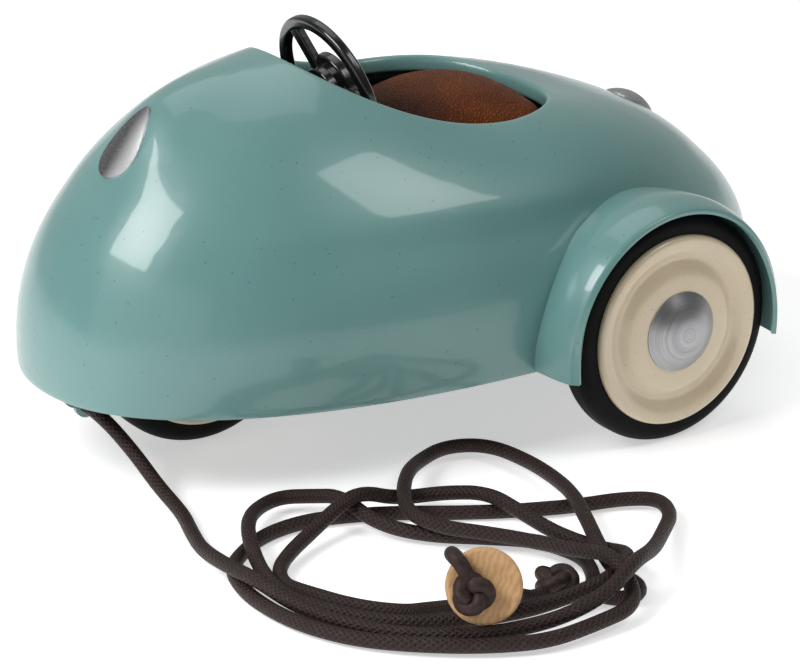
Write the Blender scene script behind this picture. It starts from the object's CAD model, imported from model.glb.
"""Looks of the pull-along toy car: paint, rubber, metal, leather, wood and a braided cord.

Metres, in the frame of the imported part: +X is forward, +Y is the car's left, +Z is up.
"""

import math

import bpy
from mathutils import Matrix, Vector


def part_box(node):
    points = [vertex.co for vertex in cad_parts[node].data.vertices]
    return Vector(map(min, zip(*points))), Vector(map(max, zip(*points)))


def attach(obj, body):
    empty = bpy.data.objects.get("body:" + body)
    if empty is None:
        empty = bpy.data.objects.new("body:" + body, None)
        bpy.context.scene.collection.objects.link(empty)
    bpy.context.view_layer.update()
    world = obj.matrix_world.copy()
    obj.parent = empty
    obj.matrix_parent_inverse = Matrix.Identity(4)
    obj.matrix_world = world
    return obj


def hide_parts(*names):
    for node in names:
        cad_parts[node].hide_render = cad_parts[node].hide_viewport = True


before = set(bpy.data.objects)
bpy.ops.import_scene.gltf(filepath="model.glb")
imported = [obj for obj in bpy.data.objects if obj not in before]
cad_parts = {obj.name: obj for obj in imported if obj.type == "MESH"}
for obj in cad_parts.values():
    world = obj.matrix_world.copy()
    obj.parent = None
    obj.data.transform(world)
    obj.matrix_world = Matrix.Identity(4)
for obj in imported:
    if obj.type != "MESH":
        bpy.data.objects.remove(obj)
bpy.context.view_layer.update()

MM = 0.001
ORIGIN_X = 33.35          # mm, from the rear axle to the frame's origin
FACING = 34.643           # degrees from +Y towards +X, of the camera and the button
LIFT = 20.909             # degrees above the level, of the camera and the button

# Camera: its place in millimetres from the rear axle, and its lens and sensor in millimetres.
CAMERA_AT = (469.0, 633.6, 306.9)
LENS = 157.5
SENSOR = 36

# Cord: sizes in metres, places in millimetres from the rear axle.
CORD_DIAMETER = 3.2 * MM
CORD_LENGTH = 1.055
TAIL_LENGTH = 0.0215
BRAID_PITCH = 1.3 * MM
BRAID_STRANDS = 8
BUTTON_AT = (95.6, 122.6, 11.4)
KNOT_AT = (71.2, 114.1, 1.65)
EYE_AT = (116.2, 0.6, 14.3)
KNOT_POINTS = 18

# Seat pad.
PAD_VOXEL = 1.0 * MM
PAD_SWELL = 0.9 * MM      # the most that air pressure may move a point
PAD_FALL = 4.2 * MM       # sets how far its top drops towards its front and sides
PAD_CREST_BACK = 3 * MM   # how far its crest lies behind its middle
PAD_HELD = 0.6 * MM       # points nearer to its underside than this stay put
PAD_ROUNDS = 6            # of smoothing
CLOTH_SCALE = 10
CLOTH_STEPS = 14

# Floor.
FLOOR_REACH = 6.0
FLOOR_DROP = 0.1 * MM     # below the tyres, so that no two faces coincide

# The cord's route in millimetres from the rear axle, from the eye to the button. Its two tightest
# folds are wider than the CAD tube's, so that neither is tighter than one cord thickness.
CORD_POINTS = [
    (116.2, 0.6, 14.3), (116.2, 8.5, 13.6), (114.3, 17.8, 8.2), (113.9, 27.5, 3.3), (115.3, 39.4, 1.9),
    (119.3, 49.6, 2.3), (123.1, 60.1, 3), (125.1, 73.7, 4.9), (123.9, 83.8, 5.1), (122.4, 93.9, 3.5),
    (119.1, 103.9, 2.7), (112.8, 114.5, 2.5), (103.9, 123, 2.6), (93.9, 128.1, 3.1), (82.7, 131.6, 4.4),
    (71, 131.6, 6.9), (61.5, 127.7, 10), (49.8, 119.4, 6.4), (39.2, 109.4, 4.1), (30.5, 101.5, 3),
    (26.6, 92.5, 2.4), (32.9, 87.3, 2.1), (43.1, 84.3, 1.8), (54.8, 79, 1.7), (66.2, 72.3, 1.6),
    (75.6, 65.6, 1.6), (85.1, 60.6, 1.6), (95.5, 57.1, 1.6), (107, 58.4, 1.6), (116.8, 64.4, 1.6),
    (121.9, 69.6, 1.6), (125.2, 79.7, 1.6), (125.7, 90.9, 1.7), (123.9, 101.7, 1.8),
    (118.8, 112.6, 1.9), (109.7, 122.4, 2.1), (99.1, 130.3, 2.2), (88.4, 135.3, 2.4),
    (76.1, 134.8, 2.8), (66.9, 134.2, 3.5), (62.4, 128.6, 4.9), (62.3, 121.1, 9.4), (63.2, 110.7, 6.3),
    (65.9, 99.8, 5), (71.2, 90.1, 4.7), (78.8, 82.7, 5.4), (80.3, 73.9, 5.9), (76.5, 66.6, 6.8),
    (69, 57.2, 6.3), (60.2, 49, 4.1), (49.1, 43.5, 3.2), (40, 47.9, 2.9), (38.5, 61, 3.1),
    (41.1, 74.8, 4.2), (45.1, 86.2, 5.4), (50.7, 98, 5.3), (54.7, 105.9, 5.4), (57.1, 113.6, 2.8),
    (57.0, 118.6, 1.7), (56.6, 123.2, 1.7), (59.4, 127, 1.7), (63.8, 127, 1.7), (66.6, 123.2, 1.7),
    (65.2, 118.8, 1.7), (61.4, 114.2, 1.7), (58.1, 107, 1.8), (59.1, 99.6, 1.8), (61.6, 93.7, 1.9),
    (69.3, 86.8, 2), (79.3, 78.9, 2.1), (85.7, 69.4, 3.1), (86.5, 58, 5.5), (89.7, 51.1, 3.8),
    (95.2, 46.5, 3.3), (103.5, 49.9, 3.7), (111.2, 58.7, 5.3), (116.8, 70, 4.5), (119.9, 79.9, 3.2),
    (120.6, 89.9, 2.5), (116.5, 99.3, 2.3), (111, 108.7, 2.2), (102.6, 115.6, 2.3), (92.3, 120, 2.5),
    (81.3, 122.8, 3.1), (71.6, 124.4, 4.8), (61.3, 122.1, 5), (53.1, 116.4, 5.3), (52.1, 105.2, 1.7),
    (56.2, 94.8, 2.4), (58.1, 84.3, 4.2), (59.2, 74.1, 5.3), (64.1, 64.7, 3.2), (74.3, 61.5, 3.1),
    (85.4, 63.1, 8.1), (92, 63.8, 5.9), (99.9, 66.7, 3.7), (108, 70.9, 2.8), (114.6, 76.1, 2.3),
    (117.3, 82.7, 2), (115.2, 87.9, 1.8), (110.7, 98.8, 1.7), (104, 106.5, 1.6), (100.1, 109, 2.1),
    (97, 110.4, 2.2), (93.2, 111.2, 1.9), (89.2, 114, 2.4), (89.8, 118, 5.8), (93, 119.9, 9.6),
    (95.7, 117.6, 13),
]
TAIL_POINTS = [
    (91.1, 124.9, 8.8), (89.2, 122.3, 7.5), (86.7, 120.1, 6), (83.5, 118.5, 4.5), (80.3, 117.7, 2.8),
    (76.2, 116, 1.7), (74.2, 115, 1.6),
]


def place(x, y, z):
    """A point counted from the rear axle in millimetres, in the frame's metres."""
    return Vector(((x - ORIGIN_X) * MM, y * MM, z * MM))


# ---- camera ---------------------------------------------------------------------------------
def facing_axes():
    """Right, up and outward directions of whatever faces the camera."""
    turn = math.radians(FACING)
    lift = math.radians(LIFT)
    ahead = Vector((math.sin(turn), math.cos(turn), 0))
    outward = ahead * math.cos(lift) + Vector((0, 0, math.sin(lift)))
    right = Vector((-ahead.y, ahead.x, 0))
    return right, outward.cross(right), outward


def add_camera():
    data = bpy.data.cameras.new("camera")
    data.sensor_width = SENSOR
    data.lens = LENS
    data.clip_end = 20
    camera = bpy.data.objects.new("camera", data)
    bpy.context.scene.collection.objects.link(camera)
    axes = Matrix(facing_axes()).transposed().to_4x4()
    camera.matrix_world = Matrix.Translation(place(*CAMERA_AT)) @ axes
    bpy.context.scene.camera = camera


# ---- cord -----------------------------------------------------------------------------------
def cord_curve(name, points, material, closed=False):
    """Round cord along one smooth spline with those control points, which rides on the car."""
    curve = bpy.data.curves.new(name + "_line", "CURVE")
    curve.dimensions = "3D"
    curve.bevel_depth = CORD_DIAMETER / 2
    curve.bevel_resolution = 5
    curve.use_fill_caps = True
    curve.resolution_u = 10
    spline = curve.splines.new("NURBS")
    spline.points.add(len(points) - 1)
    for target, point in zip(spline.points, points):
        target.co = (*point, 1)
    spline.order_u = 3
    spline.use_endpoint_u = not closed
    spline.use_cyclic_u = closed
    cord = bpy.data.objects.new(name, curve)
    bpy.context.scene.collection.objects.link(cord)
    curve.materials.append(material)
    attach(cord, "car")
    return cord


def add_cords():
    """The pull cord from the eye to the button, and its short tail from the button to a knot."""
    points = [place(*corner) for corner in CORD_POINTS]
    pull = cord_curve("braided_cord", points, cord_material("cord_cotton", CORD_LENGTH))
    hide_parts("pull_cord")
    tail_points = [place(*corner) for corner in TAIL_POINTS]
    tail = cord_curve("braided_tail", tail_points, cord_material("tail_cotton", TAIL_LENGTH))
    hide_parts("cord_tail")
    add_knots()


def knot_frame(at, facing, across):
    """Matrix from a knot's own directions: across, beside it, and out of the knot's face."""
    beside = facing.cross(across).normalized()
    axes = Matrix((beside.cross(facing), beside, facing)).transposed().to_4x4()
    return Matrix.Translation(at) @ axes


def turned_knot(name, axes, ring, wave, lift, material):
    """Knot drawn tight: a closed trefoil, which goes round twice and crosses itself three times.

    In millimetres, ring is the middle of its radius, wave is how much the radius varies, and lift
    is how far the cord rises and dips at a crossing.
    """
    points = []
    for k in range(KNOT_POINTS):
        turn = 4 * math.pi * k / KNOT_POINTS
        reach = (ring + wave * math.cos(1.5 * turn)) * MM
        point = Vector((reach * math.cos(turn), reach * math.sin(turn), 0))
        point.z = lift * MM * math.sin(1.5 * turn)
        points.append(axes @ point)
    return cord_curve(name, points, material, closed=True)


def add_knots():
    """The three knots, the cord's turn over the button's edge, and its stub through the eye."""
    right, up, facing = facing_axes()
    braid = cord_material("cord_knots")

    def on_button(side, high, out):
        return place(*BUTTON_AT) + (right * side + up * high + facing * out) * MM

    axes = knot_frame(on_button(-2.3, -1.3, 3.3), facing, right)
    button_knot = turned_knot("knot_on_button", axes, 2.4, 0.95, 1.35, braid)
    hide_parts("button_knot")
    over_edge = [(-2.9, 2.9, -3.2), (-4.4, 4.4, -3.3), (-6.1, 6.1, -3.0), (-6.5, 6.5, 0.0),
                 (-6.1, 6.1, 3.0), (-4.2, 4.2, 3.5), (-3.2, 1.6, 3.4)]
    wrap = cord_curve("turn_over_edge", [on_button(*corner) for corner in over_edge], braid)

    above = Vector((0, 0, 1.35)) * MM
    axes = knot_frame(place(*KNOT_AT) + above, Vector((0, 0, 1)), right)
    end_knot = turned_knot("knot_on_tail", axes, 2.7, 1.0, 1.3, braid)
    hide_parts("end_knot")

    behind = Vector((-1.9, -3.4, 0.9)) * MM
    axes = knot_frame(place(*EYE_AT) + behind, Vector((0, 1, 0)), right)
    tow_knot = turned_knot("knot_behind_eye", axes, 1.6, 0.75, 0.9, braid)
    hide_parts("tow_knot")
    through = [place(*EYE_AT) + Vector((0, step, 0)) * MM for step in (-3.4, -2.0, -0.6, 0.4)]
    stub = cord_curve("cord_in_eye", through, braid)
    return button_knot, wrap, end_knot, tow_knot, stub


# ---- node helpers ---------------------------------------------------------------------------
def tone(red, green, blue):
    """Linear colour from 0 to 255 screen values."""
    def linear(value):
        value /= 255
        return value / 12.92 if value <= 0.04045 else ((value + 0.055) / 1.055) ** 2.4
    return (linear(red), linear(green), linear(blue), 1)


class Nodes:
    """Short calls for building one material's node tree."""

    def __init__(self, name, roughness, metallic=0.0, coat=0.0):
        self.material = bpy.data.materials.new(name)
        self.material.use_nodes = True
        self.tree = self.material.node_tree
        self.shader = self.tree.nodes["Principled BSDF"]
        self.shader.inputs["Roughness"].default_value = roughness
        self.shader.inputs["Metallic"].default_value = metallic
        self.shader.inputs["Coat Weight"].default_value = coat
        self.shader.inputs["Coat Roughness"].default_value = 0.06
        self.where = self.add("ShaderNodeTexCoord").outputs["Object"]

    def add(self, kind, **values):
        node = self.tree.nodes.new(kind)
        for key, value in values.items():
            setattr(node, key, value)
        return node

    def link(self, output, target):
        self.tree.links.new(output, target)

    def noise(self, scale, detail=3.0, roughness=0.55, where=None):
        node = self.add("ShaderNodeTexNoise")
        node.inputs["Scale"].default_value = scale
        node.inputs["Detail"].default_value = detail
        node.inputs["Roughness"].default_value = roughness
        self.link(where or self.where, node.inputs["Vector"])
        return node.outputs["Fac"]

    def cells(self, scale, feature="F1"):
        node = self.add("ShaderNodeTexVoronoi", feature=feature)
        node.inputs["Scale"].default_value = scale
        self.link(self.where, node.inputs["Vector"])
        return node.outputs["Distance"]

    def math(self, operation, first, second):
        node = self.add("ShaderNodeMath", operation=operation)
        for socket, value in zip(node.inputs, (first, second)):
            if isinstance(value, (int, float)):
                socket.default_value = value
            else:
                self.link(value, socket)
        return node.outputs["Value"]

    def ramp(self, value, stops):
        node = self.add("ShaderNodeValToRGB")
        elements = node.color_ramp.elements
        while len(elements) < len(stops):
            elements.new(0.5)
        for element, (position, colour) in zip(elements, stops):
            element.position = position
            element.color = colour
        self.link(value, node.inputs["Fac"])
        return node.outputs["Color"]

    def mixed(self, factor, first, second):
        node = self.add("ShaderNodeMix", data_type="RGBA")
        for name, value in (("Factor", factor), ("A", first), ("B", second)):
            sockets = [s for s in node.inputs if s.name == name and s.enabled]
            if isinstance(value, (int, float, tuple)):
                sockets[0].default_value = value
            else:
                self.link(value, sockets[0])
        return [s for s in node.outputs if s.enabled][0]

    def colour(self, output):
        self.link(output, self.shader.inputs["Base Color"])

    def rough(self, value, low, high):
        node = self.add("ShaderNodeMapRange")
        node.inputs["To Min"].default_value = low
        node.inputs["To Max"].default_value = high
        self.link(value, node.inputs["Value"])
        self.link(node.outputs["Result"], self.shader.inputs["Roughness"])

    def split(self, vector):
        """The three coordinates of a vector, by name."""
        node = self.add("ShaderNodeSeparateXYZ")
        self.link(vector, node.inputs["Vector"])
        return node.outputs

    def ease(self, axis, start, end):
        """0 before start and 1 past end along one axis of the object, smooth between."""
        coordinate = self.split(self.where)[axis]
        node = self.add("ShaderNodeMapRange", interpolation_type="SMOOTHSTEP")
        node.inputs["From Min"].default_value = start
        node.inputs["From Max"].default_value = end
        self.link(coordinate, node.inputs["Value"])
        return node.outputs["Result"]

    def bump(self, value, depth):
        node = self.add("ShaderNodeBump")
        node.inputs["Distance"].default_value = depth
        node.inputs["Strength"].default_value = 1.0
        self.link(value, node.inputs["Height"])
        self.link(node.outputs["Normal"], self.shader.inputs["Normal"])


def specks(n, scale, size):
    """Small scattered dots: 1 inside a dot."""
    return n.ramp(n.cells(scale), [(0.0, (1, 1, 1, 1)), (size, (0, 0, 0, 1))])


# ---- materials ------------------------------------------------------------------------------
def teal_paint():
    n = Nodes("teal_paint", 0.28, coat=0.5)
    drift = n.ramp(n.noise(28, 2), [(0.3, tone(98, 140, 137)), (0.7, tone(105, 147, 144))])
    n.colour(n.mixed(specks(n, 330, 0.1), drift, tone(58, 86, 84)))
    n.rough(n.noise(90, 3), 0.29, 0.38)
    n.bump(n.math("ADD", n.noise(210, 2), n.math("MULTIPLY", n.noise(45, 2), 2.5)), 0.00006)
    return n.material


def inner_paint():
    n = Nodes("inner_paint", 0.55)
    n.colour(n.ramp(n.noise(60), [(0.3, tone(38, 54, 53)), (0.7, tone(48, 66, 64))]))
    n.bump(n.noise(300), 0.0001)
    return n.material


def cream_paint():
    n = Nodes("cream_paint", 0.3, coat=0.45)
    base = n.ramp(n.noise(40, 3), [(0.3, tone(202, 185, 157)), (0.7, tone(212, 196, 168))])
    dotted = n.mixed(specks(n, 900, 0.16), base, tone(156, 137, 108))
    n.colour(n.mixed(specks(n, 310, 0.07), dotted, tone(120, 102, 76)))
    n.bump(n.noise(350, 2), 0.00004)
    return n.material


def rubber():
    n = Nodes("tyre_rubber", 0.6)
    n.shader.inputs["Specular IOR Level"].default_value = 0.1
    n.colour(n.ramp(n.noise(120, 4), [(0.3, tone(9, 9, 9)), (0.75, tone(16, 16, 16))]))
    n.rough(n.noise(70, 4), 0.48, 0.7)
    n.bump(n.noise(900, 3), 0.00008)
    return n.material


def silver(name, metallic):
    """Silver paint with a brushed grain."""
    n = Nodes(name, 0.36, metallic=metallic)
    stretch = n.add("ShaderNodeMapping")
    stretch.inputs["Scale"].default_value = (1, 1, 5)
    n.link(n.where, stretch.inputs["Vector"])
    grain = n.noise(900, 5, 0.7, stretch.outputs["Vector"])
    n.colour(n.ramp(grain, [(0.25, tone(118, 118, 120)), (0.75, tone(176, 176, 178))]))
    n.rough(n.noise(160, 4), 0.28, 0.46)
    n.bump(grain, 0.00006)
    return n.material


def lamp_silver():
    """Silver lacquer on the lamp: thin and dark on one flank, thick and bright on the other."""
    n = Nodes("lamp_silver", 0.3, metallic=0.75)
    low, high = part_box("headlamp")
    width = high.y - low.y
    bright = n.ease("Y", low.y + 0.35 * width, low.y + 0.92 * width)
    grain = n.noise(1400, 4, 0.7)
    dark = n.ramp(grain, [(0.3, tone(82, 82, 84)), (0.7, tone(132, 132, 134))])
    n.colour(n.mixed(bright, dark, tone(240, 240, 241)))
    n.rough(n.noise(160, 4), 0.24, 0.4)
    n.bump(grain, 0.00005)
    return n.material


def brushed_cap():
    """Hub cap: fine circular brush marks about the wheel's own axis."""
    n = Nodes("hub_silver", 0.34, metallic=0.9)
    apart = n.split(n.where)
    low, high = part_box("left_hub_cap")
    along = n.math("SUBTRACT", apart["X"], (low.x + high.x) / 2)
    above = n.math("SUBTRACT", apart["Z"], (low.z + high.z) / 2)
    squares = n.math("ADD", n.math("MULTIPLY", along, along), n.math("MULTIPLY", above, above))
    radius = n.math("POWER", squares, 0.5)
    rings = n.add("ShaderNodeCombineXYZ")
    n.link(n.math("MULTIPLY", radius, 30.0), rings.inputs["X"])
    n.link(n.math("MULTIPLY", n.noise(30, 2), 0.05), rings.inputs["Y"])
    marks = n.noise(90, 4, 0.7, rings.outputs["Vector"])
    n.colour(n.ramp(marks, [(0.3, tone(140, 140, 142)), (0.7, tone(180, 180, 182))]))
    n.rough(marks, 0.26, 0.44)
    n.bump(marks, 0.00005)
    return n.material


def plain_steel(name, dark, light, roughness):
    n = Nodes(name, roughness, metallic=0.9)
    n.colour(n.ramp(n.noise(200, 4), [(0.3, dark), (0.7, light)]))
    n.rough(n.noise(110, 3), roughness - 0.08, roughness + 0.1)
    n.bump(n.noise(600, 3), 0.00004)
    return n.material


def black_plastic():
    n = Nodes("black_plastic", 0.2, coat=0.5)
    n.colour(n.ramp(n.noise(80, 3), [(0.3, tone(14, 14, 15)), (0.7, tone(24, 24, 25))]))
    n.rough(n.noise(240, 3), 0.14, 0.3)
    n.bump(n.noise(500, 3), 0.00006)
    return n.material


def bush_plastic():
    n = Nodes("bush_plastic", 0.45)
    n.colour(n.ramp(n.noise(150), [(0.3, tone(205, 203, 196)), (0.7, tone(220, 218, 210))]))
    n.bump(n.noise(400), 0.00005)
    return n.material


def leather():
    n = Nodes("leather", 0.5)
    cracks = n.cells(1150, "DISTANCE_TO_EDGE")
    pebbles = n.ramp(cracks, [(0.0, (0, 0, 0, 1)), (0.3, (1, 1, 1, 1))])
    base = n.ramp(n.noise(70, 5, 0.65), [(0.25, tone(98, 44, 10)), (0.75, tone(134, 68, 19))])
    grained = n.mixed(n.math("ADD", n.math("MULTIPLY", pebbles, 0.6), 0.4), tone(46, 20, 6), base)
    n.colour(n.mixed(burnish(n), grained, tone(24, 11, 5)))
    n.rough(n.noise(190, 3), 0.42, 0.6)
    n.shader.inputs["Specular IOR Level"].default_value = 0.12
    n.bump(n.math("ADD", pebbles, n.math("MULTIPLY", n.noise(110, 3), 2.0)), 0.00026)
    return n.material


def burnish(n):
    """How dark the hide is dyed: most along the pad's front edge, not at all over its back."""
    low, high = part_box("seat_cushion")
    length = high.x - low.x
    return n.math("MULTIPLY", n.ease("X", low.x + 0.45 * length, low.x + 0.9 * length), 0.85)


def wood():
    """Pale wood: bent grain lines, fine pores and a few toasted patches."""
    n = Nodes("wood", 0.55)
    wave = n.add("ShaderNodeTexWave", wave_type="RINGS")
    wave.inputs["Scale"].default_value = 420
    wave.inputs["Distortion"].default_value = 6
    wave.inputs["Detail"].default_value = 4
    n.link(n.where, wave.inputs["Vector"])
    grain = n.ramp(wave.outputs["Fac"], [(0.2, tone(196, 151, 104)), (0.8, tone(206, 166, 120))])
    toasted = n.ramp(n.noise(150, 4), [(0.5, (0, 0, 0, 1)), (0.72, (1, 1, 1, 1))])
    n.colour(n.mixed(n.math("MULTIPLY", toasted, 0.5), grain, tone(128, 84, 46)))
    n.bump(n.noise(800, 4), 0.00012)
    return n.material


def cord_material(name, length=0.0):
    """Waxed braid: two crossing spirals make the strands, and a few of them catch the light.

    Without a length, as on a knot, small cells stand in for the spirals.
    """
    n = Nodes(name, 0.55)
    if length:
        apart = n.split(n.add("ShaderNodeTexCoord").outputs["UV"])
        run = n.math("MULTIPLY", apart["X"], 2 * math.pi * length / BRAID_PITCH)
        around = n.math("MULTIPLY", apart["Y"], 2 * math.pi * BRAID_STRANDS)
        first = n.math("SINE", n.math("ADD", run, around), 0)
        second = n.math("SINE", n.math("SUBTRACT", run, around), 0)
        strands = n.math("MAXIMUM", first, second)
    else:
        strands = n.math("MULTIPLY", n.cells(900, "SMOOTH_F1"), 1.6)
    yarn = n.noise(1500, 3)
    shade = n.ramp(strands, [(0.1, tone(34, 22, 20)), (0.95, tone(52, 35, 32))])
    glints = n.ramp(n.math("MULTIPLY", strands, n.noise(500, 2)),
                    [(0.52, (0, 0, 0, 1)), (0.7, (1, 1, 1, 1))])
    n.colour(n.mixed(n.math("MULTIPLY", glints, 0.4), shade, tone(92, 76, 72)))
    n.shader.inputs["Specular IOR Level"].default_value = 0.3
    n.bump(n.math("ADD", strands, n.math("MULTIPLY", yarn, 0.6)), 0.00009)
    return n.material


# ---- leather cushion ------------------------------------------------------------------------
def cushion():
    """Leather pad: the CAD pad's form, remeshed, swollen as cloth, then lowered to its edges."""
    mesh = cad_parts["seat_cushion"].data.copy()
    pad = bpy.data.objects.new("leather_cushion", mesh)
    bpy.context.scene.collection.objects.link(pad)
    remesh = pad.modifiers.new("even", "REMESH")
    remesh.mode = "VOXEL"
    remesh.voxel_size = PAD_VOXEL
    apply_modifiers(pad)
    start = [vertex.co.copy() for vertex in pad.data.vertices]
    inflate(pad)
    low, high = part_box("seat_cushion")
    middle = (low + high) / 2
    for vertex, rest in zip(pad.data.vertices, start):
        moved = vertex.co - rest
        if moved.length > PAD_SWELL:
            moved.length = PAD_SWELL
        vertex.co = rest + moved
        offset = vertex.co - middle
        top = max(0.0, offset.z / (high.z - middle.z))
        ahead = (offset.x + PAD_CREST_BACK) / (high.x - middle.x)
        beside = offset.y / (high.y - middle.y)
        vertex.co.z -= PAD_FALL * top * (ahead ** 2 + 0.5 * beside ** 2)
    soften = pad.modifiers.new("soft", "SMOOTH")
    soften.iterations = PAD_ROUNDS
    apply_modifiers(pad)
    for polygon in pad.data.polygons:
        polygon.use_smooth = True
    pad.data.materials.clear()
    pad.data.materials.append(leather())
    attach(pad, "car")
    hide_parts("seat_cushion")


def apply_modifiers(obj):
    """Bake an object's modifiers into its own mesh."""
    graph = bpy.context.evaluated_depsgraph_get()
    baked = bpy.data.meshes.new_from_object(obj.evaluated_get(graph))
    obj.modifiers.clear()
    obj.data = baked


def inflate(pad):
    """Cloth with air pressure, on an enlarged pad so that the solver's tolerances suit it."""
    for vertex in pad.data.vertices:
        vertex.co *= CLOTH_SCALE
    underside = min(vertex.co.z for vertex in pad.data.vertices)
    pins = pad.vertex_groups.new(name="held")
    held = [v.index for v in pad.data.vertices if v.co.z < underside + PAD_HELD * CLOTH_SCALE]
    pins.add(held, 1.0, "REPLACE")
    cloth = pad.modifiers.new("cloth", "CLOTH")
    cloth.settings.quality = 6
    cloth.settings.mass = 0.4
    cloth.settings.tension_stiffness = 25
    cloth.settings.compression_stiffness = 25
    cloth.settings.bending_stiffness = 1.5
    cloth.settings.use_pressure = True
    cloth.settings.uniform_pressure_force = 3.0
    cloth.settings.vertex_group_mass = "held"
    cloth.settings.effector_weights.gravity = 0
    cloth.point_cache.frame_start = 1
    cloth.point_cache.frame_end = CLOTH_STEPS
    for step in range(1, CLOTH_STEPS + 1):
        bpy.context.scene.frame_set(step)
    apply_modifiers(pad)
    for vertex in pad.data.vertices:
        vertex.co /= CLOTH_SCALE
    bpy.context.scene.frame_set(1)


# ---- finish on the CAD pieces -----------------------------------------------------------------
def paint_nodes():
    """Give every CAD node the material of the first rule that has a word of its name."""
    steel = plain_steel("steel", tone(128, 130, 134), tone(176, 178, 181), 0.35)
    bracket = plain_steel("bracket_steel", tone(96, 98, 100), tone(132, 134, 137), 0.45)
    rules = [
        (("tow_bracket", "body_shell", "fender"), teal_paint()),
        (("bracket_screws",), steel),
        (("bracket",), bracket),
        (("floor_pan", "shell_tabs", "seat_base"), inner_paint()),
        (("disc",), cream_paint()),
        (("tyre",), rubber()),
        (("knot", "cord"), cord_material("cord_loops")),
        (("hub_cap",), brushed_cap()),
        (("steering_wheel",), black_plastic()),
        (("bush",), bush_plastic()),
        (("wood_button",), wood()),
        (("cushion",), leather()),
        (("headlamp",), lamp_silver()),
        (("rear_cap",), silver("tail_silver", 0.45)),
        (("axle", "screws", "clips", "column", "nut"), steel),
    ]
    for name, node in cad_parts.items():
        material = next(m for words, m in rules if any(word in name for word in words))
        node.data.materials.clear()
        node.data.materials.append(material)


# ---- studio -----------------------------------------------------------------------------------
def softbox(name, direction, distance, size, power):
    """Rectangular light that faces the car from that direction."""
    data = bpy.data.lights.new(name, "AREA")
    data.shape = "RECTANGLE"
    data.size, data.size_y = size
    data.energy = power
    lamp = bpy.data.objects.new(name, data)
    bpy.context.scene.collection.objects.link(lamp)
    away = Vector(direction).normalized()
    target = Vector((0, 0, 0.04))
    lamp.location = target + away * distance
    lamp.rotation_euler = away.to_track_quat("Z", "Y").to_euler()


def studio():
    """White floor with a faint glow of its own, the walls around it, and four soft lights."""
    mesh = bpy.data.meshes.new("floor")
    near, far = -FLOOR_REACH, FLOOR_REACH
    corners = [(near, near, 0), (far, near, 0), (far, far, 0), (near, far, 0)]
    mesh.from_pydata(corners, [], [(0, 1, 2, 3)])
    floor = bpy.data.objects.new("floor", mesh)
    bpy.context.scene.collection.objects.link(floor)
    floor.location.z = -FLOOR_DROP
    n = Nodes("floor_paper", 0.9)
    n.colour(n.ramp(n.noise(3), [(0.3, (0.9, 0.9, 0.9, 1)), (0.7, (0.93, 0.93, 0.93, 1))]))
    n.shader.inputs["Emission Color"].default_value = (1, 1, 1, 1)
    n.shader.inputs["Emission Strength"].default_value = 0.5
    mesh.materials.append(n.material)
    bpy.context.scene.world = backdrop()
    softbox("nose_light", (0.75, 0.0, 0.66), 0.8, (0.42, 0.3), 4.2)
    softbox("side_light", (-0.31, 0.56, 0.76), 0.8, (0.27, 0.3), 1.3)
    softbox("front_light", (0.92, 0.36, 0.14), 1.5, (1.9, 1.1), 4.0)
    softbox("top_light", (-0.1, -0.35, 1.0), 1.3, (0.9, 0.9), 3.2)


def backdrop():
    """Pale wall, bright on the side across from the camera and dim on the near side."""
    world = bpy.data.worlds.new("studio")
    world.use_nodes = True
    tree = world.node_tree
    sky = tree.nodes["Background"]
    sky.inputs["Strength"].default_value = 1.0
    where = tree.nodes.new("ShaderNodeTexCoord")
    across = tree.nodes.new("ShaderNodeVectorMath")
    across.operation = "DOT_PRODUCT"
    across.inputs[1].default_value = (-0.5, -0.78, 0.2)
    ramp = tree.nodes.new("ShaderNodeValToRGB")
    ramp.color_ramp.elements[0].position = 0.0
    ramp.color_ramp.elements[0].color = (0.07, 0.07, 0.07, 1)
    ramp.color_ramp.elements[1].position = 0.85
    ramp.color_ramp.elements[1].color = (0.44, 0.44, 0.44, 1)
    tree.links.new(where.outputs["Generated"], across.inputs[0])
    tree.links.new(across.outputs["Value"], ramp.inputs["Fac"])
    tree.links.new(ramp.outputs["Color"], sky.inputs["Color"])
    return world


bpy.context.scene.view_settings.view_transform = "Standard"
add_camera()
add_cords()
cushion()
paint_nodes()
studio()
